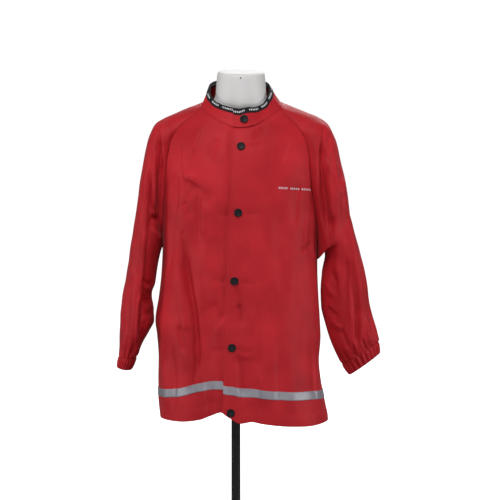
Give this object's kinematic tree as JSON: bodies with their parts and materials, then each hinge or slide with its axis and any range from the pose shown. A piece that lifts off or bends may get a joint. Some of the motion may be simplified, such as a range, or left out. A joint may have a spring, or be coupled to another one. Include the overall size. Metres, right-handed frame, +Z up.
{
  "type": "kids rain jacket on a limbless display form",
  "caption": "Coated child's rain jacket with raglan sleeves, stand collar and a snap front, worn by a limbless display form that stands on a round-based pole.",
  "frame": {"origin": "centre of the underside of the stand's round base, on the surface it stands on", "axes": "+Z up, the front faces -Y, +X towards the wearer's left"},
  "size_m": [0.5046, 0.28, 0.8708],
  "materials": {
    "cloth": "coated, slight sheen",
    "binding": "woven tape, matt",
    "reflective_tape": "grey reflective, satin",
    "snap": "matt",
    "form": "smooth, satin",
    "stand": "black, satin"
  },
  "bodies": {
    "root": {"front_right": "cloth", "front_left": "cloth", "back": "cloth", "sleeve_right": "cloth", "sleeve_left": "cloth", "cuff_right": "cloth", "cuff_left": "cloth", "collar": "cloth", "collar_binding": "binding", "reflective_tape_front_right": "reflective_tape", "reflective_tape_front_left": "reflective_tape", "reflective_tape_back": "reflective_tape", "snap_1": "snap", "snap_2": "snap", "snap_3": "snap", "snap_4": "snap", "snap_5": "snap", "snap_6": "snap", "display_form": "form", "stand_pole": "stand", "stand_base": "stand"}
  },
  "joints": []
}
